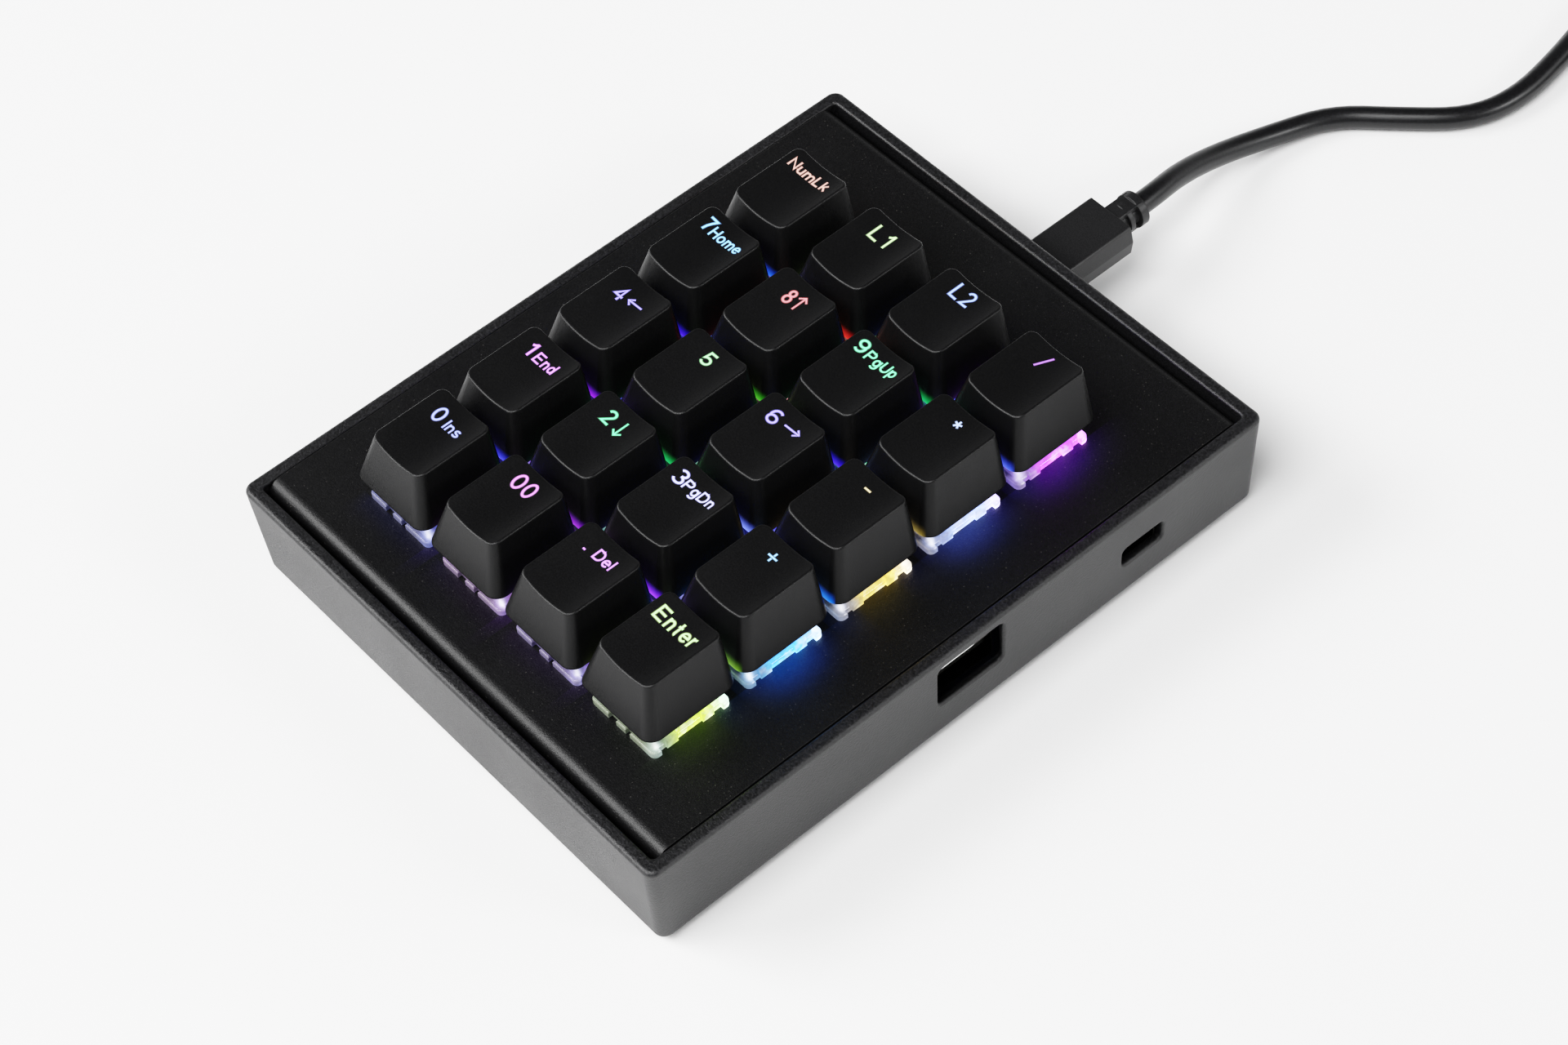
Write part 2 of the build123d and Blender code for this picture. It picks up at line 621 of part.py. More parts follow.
# ---- far plug, beside the coil --------------------------------------------------------------------
FAR_X = COIL_CENTRE[0] + COIL_RADII[0]
FAR_Z = 4.4
FAR_START = COIL_CENTRE[1] - sqrt((COIL_RADII[0] + CABLE_R) ** 2 - COIL_RADII[0] ** 2) - 1.5
far_plane = Plane(origin=(FAR_X, FAR_START, FAR_Z), x_dir=(1, 0, 0), z_dir=(0, -1, 0))
with BuildPart() as far_plug_body:
    with BuildSketch(far_plane):
        Circle(CABLE_R + 0.5)
    with BuildSketch(far_plane.offset(8.0)):
        Circle(3.4)
    loft()
    with BuildSketch(far_plane.offset(8.0)):
        RectangleRounded(15.0, 2 * FAR_Z - 0.4, 2.0)
    extrude(amount=20.0)
    fillet(far_plug_body.edges().group_by(Axis.Y)[0], 0.8)
save(far_plug_body.part, "far_plug_body")

with BuildPart() as far_plug_shell:
    with BuildSketch(far_plane.offset(28.0)):
        RectangleRounded(12.0, 4.5, 0.4)
    extrude(amount=12.0)
    with BuildSketch(far_plane.offset(40.0)):
        with Locations((0, 0.95)):
            Rectangle(11.4, 2.0)
    extrude(amount=-9.0, mode=Mode.SUBTRACT)
save(far_plug_shell.part, "far_plug_shell")
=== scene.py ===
"""A numeric keypad with lit legends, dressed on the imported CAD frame."""

from math import cos, pi, radians, sin

import bmesh
import bpy
from mathutils import Matrix, Vector


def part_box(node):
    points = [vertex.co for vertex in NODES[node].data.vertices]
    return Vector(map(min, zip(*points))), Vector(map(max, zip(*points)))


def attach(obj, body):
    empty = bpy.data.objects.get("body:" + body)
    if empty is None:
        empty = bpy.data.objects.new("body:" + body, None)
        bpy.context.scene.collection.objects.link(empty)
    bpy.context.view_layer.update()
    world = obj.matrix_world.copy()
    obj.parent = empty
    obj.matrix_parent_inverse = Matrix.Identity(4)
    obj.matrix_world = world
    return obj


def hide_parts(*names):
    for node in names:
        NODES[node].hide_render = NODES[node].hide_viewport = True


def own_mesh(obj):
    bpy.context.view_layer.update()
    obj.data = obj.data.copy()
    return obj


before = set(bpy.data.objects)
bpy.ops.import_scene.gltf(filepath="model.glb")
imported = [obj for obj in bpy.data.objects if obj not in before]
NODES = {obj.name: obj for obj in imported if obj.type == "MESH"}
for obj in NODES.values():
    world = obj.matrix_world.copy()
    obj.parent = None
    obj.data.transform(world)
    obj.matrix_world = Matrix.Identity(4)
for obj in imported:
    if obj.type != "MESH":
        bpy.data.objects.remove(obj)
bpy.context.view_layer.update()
MM = 0.001

KEY_ROWS = (
    ("num_lock", "l1", "l2", "divide"),
    ("7", "8", "9", "multiply"),
    ("4", "5", "6", "minus"),
    ("1", "2", "3", "plus"),
    ("0", "00", "point", "enter"),
)
KEYS = [name for row in KEY_ROWS for name in row]
PITCH = 19.05 * MM
BLOCK_Y = -4.7 * MM  # the middle of the block of keys, measured from the middle of the tray
HOUSING_R = 7.8 * MM  # half the width of a switch's flange

# the picture's tone curve, as (light in the scene, light on the screen)
FILM = [
    (0.0, 0.0),
    (0.03, 0.016),
    (0.08, 0.065),
    (0.2, 0.2),
    (0.5, 0.48),
    (1.0, 0.74),
    (1.6, 0.89),
    (2.4, 0.97),
]
WHITE = FILM[-1][0]
PURE_WHITE = (1.0, 1.0, 1.0, 1.0)


def linear(*rgb):
    """A screen colour, 0 to 255 a channel, as a linear RGBA colour."""
    channels = [((c / 255 + 0.055) / 1.055) ** 2.4 if c > 10 else c / 255 / 12.92 for c in rgb]
    return (*channels, 1.0)


def shown(*rgb):
    """The light, in linear RGBA, that looks like this screen colour through the tone curve."""
    light = []
    for level in linear(*rgb)[:3]:
        for (dark, low), (bright, high) in zip(FILM, FILM[1:]):
            if level <= high or bright == WHITE:
                light.append(dark + (bright - dark) * (level - low) / (high - low))
                break
    return (*light, 1.0)


def smooth(t):
    """An eased step from 0 to 1."""
    t = min(max(t, 0.0), 1.0)
    return t * t * (3 - 2 * t)


# ---- camera ----------------------------------------------------------------------------------
CAMERA_PLACE = (0.33030, -0.23489, 0.50597)
CAMERA_RIGHT = Vector((0.65331, 0.75399, -0.06853))
CAMERA_UP = Vector((-0.56228, 0.54382, 0.62298))
SENSOR_WIDTH, FOCAL_LENGTH = 36.0, 89.13  # in mm


def add_camera():
    """The photo's camera, fitted to the corners of the key tops."""
    back = CAMERA_RIGHT.cross(CAMERA_UP)
    data = bpy.data.cameras.new("camera")
    data.sensor_width = SENSOR_WIDTH
    data.lens = FOCAL_LENGTH
    data.clip_start = 0.01
    camera = bpy.data.objects.new("camera", data)
    bpy.context.scene.collection.objects.link(camera)
    turn = Matrix((CAMERA_RIGHT, CAMERA_UP, back)).transposed().to_4x4()
    camera.matrix_world = Matrix.Translation(CAMERA_PLACE) @ turn
    bpy.context.scene.camera = camera


add_camera()

# ---- cable: from the plug over the desk, then the stored coil --------------------------------
# lengths are in mm here
CABLE = 4.2  # its diameter
CABLE_R = CABLE / 2
COIL_CENTRE = (45.2, 210.0)
COIL_RADII = (29.4, 25.2, 21.0, 16.8)
TURNS = 7.5
TURN_POINTS = 24
CROSSING = 0.2  # the part of each turn that steps to the next radius
ROUTE = [
    (-2.0, 89.15, 11.1),
    (-2.0, 93.0, 11.1),
    (-3.9, 101.4, 9.0),
    (-4.9, 112.0, 5.4),
    (-3.4, 123.9, 2.6),
    (0.4, 135.3, CABLE_R),
    (9.2, 143.3, CABLE_R),
    (18.1, 152.1, CABLE_R),
    (20.7, 162.5, CABLE_R),
    (18.8, 175.8, CABLE_R),
    (15.8, 188.5, CABLE_R),
    (15.8, 199.5, CABLE_R),
]


def coil_points():
    """Clockwise turns, four inward on the desk and four outward on top of them."""
    slots = [(r, CABLE_R) for r in COIL_RADII]
    slots += [(r, 3 * CABLE_R) for r in reversed(COIL_RADII)]
    # a spline of this order runs inside its points, by this factor on a circle
    inset = 0.75 + 0.25 * cos(2 * pi / TURN_POINTS)
    points = []
    for k in range(int(TURNS * TURN_POINTS) + 1):
        turn, part = divmod(k, TURN_POINTS)
        here, there = slots[turn], slots[min(turn + 1, len(slots) - 1)]
        step = smooth((part / TURN_POINTS - (1 - CROSSING)) / CROSSING)
        angle = pi - 2 * pi * k / TURN_POINTS
        radius = here[0] + (there[0] - here[0]) * step
        # the turns lie a little closer on the front side, and the climb runs inside them
        radius -= 1.0 - sin(angle)
        if here[1] != there[1]:
            radius -= 2.4 * sin(pi * step)
        height = here[1] + (there[1] - here[1]) * step
        points.append(
            (
                COIL_CENTRE[0] + radius / inset * cos(angle),
                COIL_CENTRE[1] + radius / inset * sin(angle),
                height,
            )
        )
    return points


def add_cable():
    """One cord from the plug to the far plug, which lies on the coil."""
    x, y, z = COIL_CENTRE[0] + COIL_RADII[0], COIL_CENTRE[1], 3 * CABLE_R
    to_plug = [(x - 0.3, y - 6.0, z), (x, y - 10.5, z - 1.2), (x, y - 14.5, 4.4)]
    points = ROUTE + coil_points() + to_plug
    data = bpy.data.curves.new("cable", "CURVE")
    data.dimensions = "3D"
    data.resolution_u = 5
    data.bevel_depth = 1.0
    data.bevel_resolution = 8
    data.use_fill_caps = True
    spline = data.splines.new("NURBS")
    spline.points.add(len(points) - 1)
    for point, place in zip(spline.points, points):
        point.co = (*[c * MM for c in place], 1.0)
        point.radius = CABLE_R * MM
    spline.order_u = 3
    spline.use_endpoint_u = True
    spline.use_smooth = True
    cable = bpy.data.objects.new("cable", data)
    bpy.context.scene.collection.objects.link(cable)
    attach(cable, "cable")
    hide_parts("cable_lead", "cable_coil")
    return cable


cable = add_cable()


# ---- node materials --------------------------------------------------------------------------
class Finish:
    """A procedural material; add() places a node, sets it up and wires what it is given."""

    def __init__(self, name, **surface):
        self.material = bpy.data.materials.new(name)
        self.material.use_nodes = True
        self.tree = self.material.node_tree
        self.tree.nodes.clear()
        output = self.tree.nodes.new("ShaderNodeOutputMaterial")
        self.shader = self.add("ShaderNodeBsdfPrincipled", **surface)
        self.join(self.shader.outputs["BSDF"], output.inputs["Surface"])
        self.place = self.add("ShaderNodeTexCoord").outputs["Object"]

    def join(self, source, target):
        self.tree.links.new(source, target)

    def add(self, kind, settings=None, **inputs):
        node = self.tree.nodes.new(kind)
        for key, value in (settings or {}).items():
            setattr(node, key, value)
        for key, value in inputs.items():
            socket = node.inputs[int(key[1:]) if key[1:].isdigit() else key.replace("_", " ")]
            if isinstance(value, bpy.types.NodeSocket):
                self.join(value, socket)
            else:
                socket.default_value = value
        return node

    def noise(self, scale, detail=2.0, roughness=0.5, place=None):
        node = self.add(
            "ShaderNodeTexNoise",
            Vector=place or self.place,
            Scale=scale,
            Detail=detail,
            Roughness=roughness,
        )
        return node.outputs["Fac"]

    def fit(self, value, low, high, to_low, to_high):
        node = self.add(
            "ShaderNodeMapRange",
            Value=value,
            From_Min=low,
            From_Max=high,
            To_Min=to_low,
            To_Max=to_high,
        )
        return node.outputs["Result"]

    def math(self, operation, a, b=0.0, c=0.0):
        node = self.add("ShaderNodeMath", {"operation": operation}, _0=a, _1=b, _2=c)
        return node.outputs["Value"]

    def mix(self, factor, a, b):
        node = self.add("ShaderNodeMix", {"data_type": "RGBA"}, _0=factor, _6=a, _7=b)
        return node.outputs[2]

    def bumped(self, height, depth, edge=0.0):
        """Relief of this height field, over edges that are eased by this radius."""
        extra = {}
        if edge:
            bevel = self.add("ShaderNodeBevel", {"samples": 6}, Radius=edge)
            extra["Normal"] = bevel.outputs["Normal"]
        node = self.add("ShaderNodeBump", Strength=1.0, Distance=depth, Height=height, **extra)
        self.join(node.outputs["Normal"], self.shader.inputs["Normal"])

    def feed(self, **inputs):
        """Wire these sockets to the shader's inputs of the same names."""
        for key, value in inputs.items():
            self.join(value, self.shader.inputs[key.replace("_", " ")])


def moulded(name, dark, light, rough, grain, depth, edge, **surface):
    """A moulded surface: fine grain of two screen colours, uneven gloss, and eased edges."""
    f = Finish(name, **surface)
    fine = f.noise(grain, detail=3.0, roughness=0.6)
    broad = f.noise(60.0, detail=4.0)
    f.feed(
        Base_Color=f.mix(f.fit(fine, 0.35, 0.75, 0.0, 1.0), linear(*dark), linear(*light)),
        Roughness=f.fit(f.math("ADD", fine, broad), 0.6, 1.4, rough - 0.06, rough + 0.06),
    )
    f.bumped(fine, depth * MM, edge=edge * MM)
    return f.material


def metal(name, colour, rough):
    """Metal with fine marks along y and dull patches."""
    f = Finish(name, Metallic=1.0)
    stretch = f.add("ShaderNodeMapping", Vector=f.place, Scale=(1.0, 0.06, 1.0))
    brushed = f.noise(2500.0, detail=3.0, place=stretch.outputs["Vector"])
    stain = f.noise(400.0, detail=4.0)
    dull = tuple(0.72 * c for c in colour[:3]) + (1.0,)
    f.feed(
        Base_Color=f.mix(f.fit(stain, 0.4, 0.8, 0.0, 0.7), colour, dull),
        Roughness=f.fit(brushed, 0.3, 0.7, rough - 0.07, rough + 0.1),
    )
    f.bumped(brushed, 0.01 * MM, edge=0.1 * MM)
    return f.material


# the light of each key's lamp, as a screen colour
GLOW = {
    "num_lock": (240, 190, 170),
    "l1": (170, 220, 130),
    "l2": (110, 140, 240),
    "divide": (225, 95, 245),
    "7": (60, 160, 240),
    "8": (240, 60, 60),
    "9": (50, 220, 140),
    "multiply": (190, 205, 242),
    "4": (100, 70, 240),
    "5": (100, 220, 100),
    "6": (100, 80, 240),
    "minus": (228, 212, 105),
    "1": (190, 70, 240),
    "2": (50, 215, 140),
    "3": (140, 130, 240),
    "plus": (95, 205, 245),
    "0": (110, 120, 230),
    "00": (205, 110, 215),
    "point": (170, 95, 225),
    "enter": (205, 225, 80),
}
# the light that reaches the plate beside a key
SPILL = {
    "num_lock": (40, 25, 15),
    "l1": (25, 50, 10),
    "l2": (15, 20, 110),
    "divide": (34, 4, 100),
    "7": (5, 40, 120),
    "8": (90, 5, 5),
    "9": (5, 75, 40),
    "multiply": (22, 32, 112),
    "4": (20, 5, 120),
    "5": (20, 75, 10),
    "6": (20, 5, 120),
    "minus": (12, 11, 3),
    "1": (60, 5, 110),
    "2": (5, 75, 35),
    "3": (30, 20, 120),
    "plus": (2, 34, 122),
    "0": (15, 20, 100),
    "00": (50, 15, 75),
    "point": (45, 5, 90),
    "enter": (14, 26, 3),
}
# and the light it throws on the key behind it
BETWEEN = {
    "num_lock": (120, 60, 40),
    "l1": (50, 120, 30),
    "l2": (40, 50, 220),
    "divide": (120, 10, 200),
    "7": (10, 90, 220),
    "8": (200, 20, 20),
    "9": (10, 170, 80),
    "multiply": (60, 90, 220),
    "4": (60, 10, 220),
    "5": (40, 160, 20),
    "6": (60, 20, 220),
    "minus": (120, 100, 30),
    "1": (140, 20, 220),
    "2": (10, 170, 80),
    "3": (120, 140, 230),
    "plus": (10, 110, 220),
    "0": (45, 55, 215),
    "00": (140, 20, 200),
    "point": (150, 50, 240),
    "enter": (90, 140, 20),
}


ROW_BLEND = 6 * MM  # rows of colour run into each other over this far on each side


def key_colour(f, colours, blended=False, ahead=0.0):
    """The colour these give the key at a point, or that far in front of it; columns may blend."""
    split = f.add("ShaderNodeSeparateXYZ", Vector=f.place)
    across = f.fit(split.outputs["X"], -2 * PITCH, 2 * PITCH, 0.0, 1.0)
    colour = None
    for row, names in enumerate(KEY_ROWS):
        ramp = f.add("ShaderNodeValToRGB", Fac=across)
        stops = ramp.color_ramp
        stops.interpolation = "LINEAR" if blended else "CONSTANT"
        stops.elements.remove(stops.elements[1])
        for column, name in enumerate(names):
            place = (column + 0.5 * blended) / 4
            stop = stops.elements[0] if column == 0 else stops.elements.new(place)
            stop.position = place
            stop.color = shown(*colours[name])
        if colour is None:
            colour = ramp.outputs["Color"]
            continue
        edge = BLOCK_Y + (2.5 - row) * PITCH + ahead
        below = f.fit(split.outputs["Y"], edge + ROW_BLEND, edge - ROW_BLEND, 0.0, 1.0)
        colour = f.mix(below, colour, ramp.outputs["Color"])
    return colour


def from_key(f):
    """Offsets to the right (across) and back (along) from the middle of the nearest key."""
    split = f.add("ShaderNodeSeparateXYZ", Vector=f.place)
    offsets = []
    for axis, count, shift in (("X", 4, 0.0), ("Y", 5, BLOCK_Y)):
        place = f.math("SUBTRACT", split.outputs[axis], shift)
        cell = f.math("FLOOR", f.math("MULTIPLY_ADD", place, 1 / PITCH, count / 2))
        cell = f.math("MINIMUM", f.math("MAXIMUM", cell, 0.0), count - 1.0)
        middle = f.math("MULTIPLY_ADD", cell, PITCH, (0.5 - count / 2) * PITCH)
        offsets.append(f.math("SUBTRACT", place, middle))
    return offsets


def bell(f, value, width):
    """1 where the value is zero, falling off smoothly over this width."""
    ratio = f.math("MULTIPLY", value, 1 / width)
    return f.math("EXPONENT", f.math("MULTIPLY", f.math("MULTIPLY", ratio, ratio), -1.0))


RIM_LOW, RIM_HIGH = 21.3 * MM, 22.0 * MM  # the rim of a housing, above the plate
FRONT_CORNER = (6.6 * MM, 6.5 * MM)  # from the middle of a key


def lit_housing():
    """Clear plastic, lit from inside by the lamp behind the middle of its key.

    The painted glow grows from front (near) to back (far), is stronger low down, and gathers in a
    white spot at each front corner. In random patches and at the far end of the rim the painted
    glow is paler, and towards the back the base colour takes on the lamp's colour as painted
    light.
    """
    f = Finish("switch_housing_clear", IOR=1.5)
    colour = key_colour(f, GLOW)
    across, along = from_key(f)
    height = f.add("ShaderNodeSeparateXYZ", Vector=f.place).outputs["Z"]
    streak = f.noise(800.0, detail=1.0)
    # random patches where the painted glow is paler
    clear = f.fit(f.noise(420.0, detail=2.0), 0.5, 0.62, 0.0, 1.0)
    reach = f.fit(along, -7.0 * MM, 6.4 * MM, 0.0, 1.0)
    near = f.fit(along, -5.8 * MM, -2.4 * MM, 0.0, 1.0)
    far = f.fit(along, 5.9 * MM, 6.4 * MM, 0.0, 1.0)
    corner = f.math("MULTIPLY", bell(f, f.math("ADD", along, 6.6 * MM), 1.6 * MM), 0.45)
    corner = f.math("MULTIPLY", corner, f.fit(across, 4.6 * MM, 6.4 * MM, 0.0, 1.0))
    glow = f.math("MULTIPLY_ADD", reach, 1.1, f.math("MULTIPLY_ADD", near, 0.8, 0.03))
    glow = f.math("MULTIPLY", glow, f.fit(height, RIM_LOW, RIM_HIGH, 1.6, 0.85))
    glow = f.math("MULTIPLY", glow, f.math("MULTIPLY_ADD", far, 0.35, 1.0))
    right, front = FRONT_CORNER
    spot = bell(f, f.math("SUBTRACT", f.math("ABSOLUTE", across), right), 0.9 * MM)
    spot = f.math("MULTIPLY", spot, bell(f, f.math("ADD", along, front), 0.6 * MM))
    spot = f.math("MULTIPLY", spot, f.fit(height, 22.1 * MM, 22.35 * MM, 0.0, 1.0))
    glow = f.math("ADD", f.math("ADD", glow, corner), f.math("MULTIPLY", spot, 1.3))
    pale = f.math("MULTIPLY_ADD", clear, 0.4, 0.06)
    pale = f.math("MAXIMUM", pale, f.math("MULTIPLY", far, 0.3))
    pale = f.math("MAXIMUM", pale, f.math("MULTIPLY", spot, 0.7))
    tint = f.mix(f.math("MULTIPLY_ADD", near, -0.6, 0.6), colour, shown(150, 175, 225))
    # painted light: towards the back the base colour takes more of the lamp's colour
    body = f.math("MULTIPLY_ADD", near, 0.55, 0.08)
    f.feed(
        Base_Color=f.mix(body, (0.13, 0.13, 0.15, 1.0), colour),
        Emission_Color=f.mix(pale, tint, PURE_WHITE),
        Emission_Strength=f.math("MULTIPLY", glow, f.fit(streak, 0.35, 0.65, 0.6, 1.1)),
        Roughness=f.fit(streak, 0.3, 0.7, 0.08, 0.2),
    )
    f.bumped(streak, 0.03 * MM, edge=0.2 * MM)
    return f.material


MOUTH_X, MOUTH_Z = 49.9 * MM, 14.0 * MM  # the outer end and mid-height of the USB-A socket


def socket_metal():
    """Tinplate with a painted highlight on the front edge of its mouth, and painted shade
    everywhere else, inside too.
    """
    f = Finish("socket_tinplate", Metallic=1.0)
    x, y, z = f.add("ShaderNodeSeparateXYZ", Vector=f.place).outputs
    front = f.math("GREATER_THAN", x, MOUTH_X)
    top = f.math("GREATER_THAN", z, MOUTH_Z)
    seen = f.fit(y, 2.6 * MM, 3.2 * MM, 1.0, 0.0)
    # painted highlight: the top front edge of the mouth is painted near white
    painted_lip_highlight = f.math("MULTIPLY", front, f.math("MULTIPLY", top, seen))
    stain = f.noise(400.0, detail=4.0)
    shade = f.mix(f.fit(stain, 0.4, 0.8, 0.0, 0.7), linear(62, 61, 58), linear(44, 43, 40))
    f.feed(
        Base_Color=f.mix(painted_lip_highlight, shade, linear(250, 250, 250)),
        Roughness=f.math("MULTIPLY_ADD", painted_lip_highlight, -0.14, f.fit(stain, 0.3, 0.7, 0.22, 0.3)),
    )
    return f.material


def plate_paint():
    """Fine textured black paint, with the lamps' light lying on it beside and before the keys."""
    f = Finish("plate_paint", IOR=1.5, Specular_IOR_Level=0.4)
    fine = f.noise(3800.0, detail=3.0, roughness=0.6)
    # pale specks in the paint's colour
    pale_specks = f.noise(2600.0, detail=0.0)
    broad = f.noise(60.0, detail=4.0)
    across, along = from_key(f)
    beyond = f.math("SUBTRACT", across, 7.2 * MM)
    fade = f.math("MULTIPLY", bell(f, beyond, 4.6 * MM), bell(f, along, 7.0 * MM))
    fade = f.math("MULTIPLY", fade, f.math("GREATER_THAN", beyond, 0.0))
    ahead = f.math("MULTIPLY", f.math("ADD", along, HOUSING_R), -1.0)
    aside = f.fit(f.math("ABSOLUTE", across), 7.0 * MM, 9.5 * MM, 0.14, 0.0)
    faint = f.math("MULTIPLY", bell(f, ahead, 3.0 * MM), aside)
    fade = f.math("ADD", fade, f.math("MULTIPLY", faint, f.math("GREATER_THAN", ahead, 0.0)))
    paint = f.mix(f.fit(fine, 0.35, 0.75, 0.0, 1.0), linear(8, 8, 9), linear(19, 19, 20))
    f.feed(
        Base_Color=f.mix(f.fit(pale_specks, 0.77, 0.83, 0.0, 1.0), paint, linear(54, 53, 51)),
        Roughness=f.fit(f.math("ADD", fine, broad), 0.6, 1.4, 0.36, 0.48),
        Emission_Color=key_colour(f, SPILL, blended=True),
        Emission_Strength=f.math("MULTIPLY", fade, f.fit(fine, 0.3, 0.7, 0.85, 1.15)),
    )
    f.bumped(fine, 0.05 * MM, edge=0.25 * MM)
    return f.material


CAP_LOW, CAP_LIT = 26.5 * MM, 29.0 * MM  # a cap's face is lit from below up to here


def keycap_plastic():
    """Satin black, with the light of the row in front low on the face that looks towards it."""
    f = Finish("keycap_plastic", IOR=1.5, Specular_IOR_Level=0.38)
    fine = f.noise(3600.0, detail=3.0, roughness=0.6)
    broad = f.noise(60.0, detail=4.0)
    _, y, z = f.add("ShaderNodeSeparateXYZ", Vector=f.place).outputs
    normal = f.add("ShaderNodeNewGeometry").outputs["Normal"]
    facing = f.add("ShaderNodeSeparateXYZ", Vector=normal).outputs["Y"]
    low = f.fit(z, CAP_LIT, CAP_LOW, 0.0, 1.0)
    lit = f.math("MULTIPLY", f.math("MULTIPLY", low, low), f.fit(facing, -0.75, -0.9, 0.0, 2.4))
    lit = f.math("MULTIPLY", lit, f.math("GREATER_THAN", y, BLOCK_Y - 2 * PITCH))
    f.feed(
        Base_Color=f.mix(
            f.fit(fine, 0.35, 0.75, 0.0, 1.0), linear(9, 9, 10), linear(15, 15, 16)
        ),
        Roughness=f.fit(f.math("ADD", fine, broad), 0.6, 1.4, 0.34, 0.46),
        Emission_Color=key_colour(f, BETWEEN, ahead=8 * MM),
        Emission_Strength=lit,
    )
    f.bumped(fine, 0.018 * MM, edge=0.35 * MM)
    return f.material


def lamp_glow():
    """The lamp itself, under its switch."""
    f = Finish("switch_lamp", Roughness=0.3)
    colour = key_colour(f, GLOW)
    grain = f.noise(900.0)
    f.feed(Base_Color=colour, Emission_Color=colour)
    f.feed(Emission_Strength=f.fit(grain, 0.3, 0.7, 5.0, 8.0))
    return f.material


def dress(node, material):
    """Give a CAD node this material."""
    for holder in NODES[node].material_slots:
        holder.material = material


KEYCAP = keycap_plastic()
PLATE = plate_paint()
# dark and light grain, roughness, grains in a metre, depth of the grain and eased edge in mm
MOULDED = {
    "case_plastic": ((4, 4, 5), (38, 38, 40), 0.42, 2800.0, 0.09, 0.6),
    "plug_plastic": ((19, 19, 20), (37, 37, 38), 0.42, 4200.0, 0.015, 0.3),
    "cable_jacket": ((14, 14, 15), (30, 30, 32), 0.34, 2600.0, 0.012, 0.0),
    "foot_rubber": ((20, 20, 20), (40, 40, 40), 0.72, 2500.0, 0.05, 0.3),
    "stem_plastic": ((150, 152, 160), (182, 184, 190), 0.4, 2600.0, 0.01, 0.1),
    "tie_band": ((26, 26, 28), (60, 60, 64), 0.7, 1500.0, 0.12, 0.3),
    "board_mask": ((10, 52, 34), (18, 74, 48), 0.35, 1200.0, 0.02, 0.0),
}
SURFACES = {"case_plastic": {"Specular_IOR_Level": 0.55}, "tie_band": {"IOR": 1.45}}
CASE, PLUG, CORD, RUBBER, MILKY, TIE, BOARD = [
    moulded(name, *settings, **{"IOR": 1.5, **SURFACES.get(name, {})})
    for name, settings in MOULDED.items()
]
TINPLATE = socket_metal()
NICKEL = metal("plug_nickel", linear(205, 203, 198), 0.3)
STEEL = metal("screw_steel", linear(70, 70, 72), 0.38)
BRASS = metal("brass", linear(214, 176, 100), 0.3)
HOUSING = lit_housing()

for key in KEYS:
    dress(f"keycap_{key}", KEYCAP)
    dress(f"stem_{key}", MILKY)
for node, material in {
    "case_tray": CASE,
    "switch_plate": PLATE,
    "circuit_board": BOARD,
    "switch_lower_housings": HOUSING,
    "switch_upper_housings": HOUSING,
    "switch_leds": lamp_glow(),
    "switch_contacts": BRASS,
    "mini_usb_sockets": TINPLATE,
    "usb_a_socket": TINPLATE,
    "plate_standoffs": BRASS,
    "case_screws": STEEL,
    "rubber_feet": RUBBER,
    "plug_body": PLUG,
    "plug_shell": NICKEL,
    "cable_tie": TIE,
    "far_plug_body": PLUG,
    "far_plug_shell": NICKEL,
}.items():
    dress(node, material)
cable.data.materials.append(CORD)


# ---- springs, which shorten as their keys go down --------------------------------------------
def key_middle(name):
    """The middle of a key's cap at rest."""
    low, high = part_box(f"keycap_{name}")
    return (low + high) / 2


def add_springs():
    """The CAD springs as a piece for each key: copies of the one spring under the first key."""
    start = key_middle(KEYS[0])
    bm = bmesh.new()
    bm.from_mesh(NODES["switch_springs"].data)
    others = [v for v in bm.verts if (v.co.xy - start.xy).length > PITCH / 2]
    bmesh.ops.delete(bm, geom=others, context="VERTS")
    master = bpy.data.meshes.new("spring")
    bm.to_mesh(master)
    bm.free()
    master.materials.clear()
    master.materials.append(STEEL)
    for name in KEYS:
        middle = key_middle(name)
        mesh = master.copy()
        mesh.transform(Matrix.Translation((middle.x - start.x, middle.y - start.y, 0.0)))
        spring = bpy.data.objects.new(f"spring_{name}", mesh)
        bpy.context.scene.collection.objects.link(spring)
        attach(spring, "base")
        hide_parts("switch_springs")
        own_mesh(spring)


add_springs()


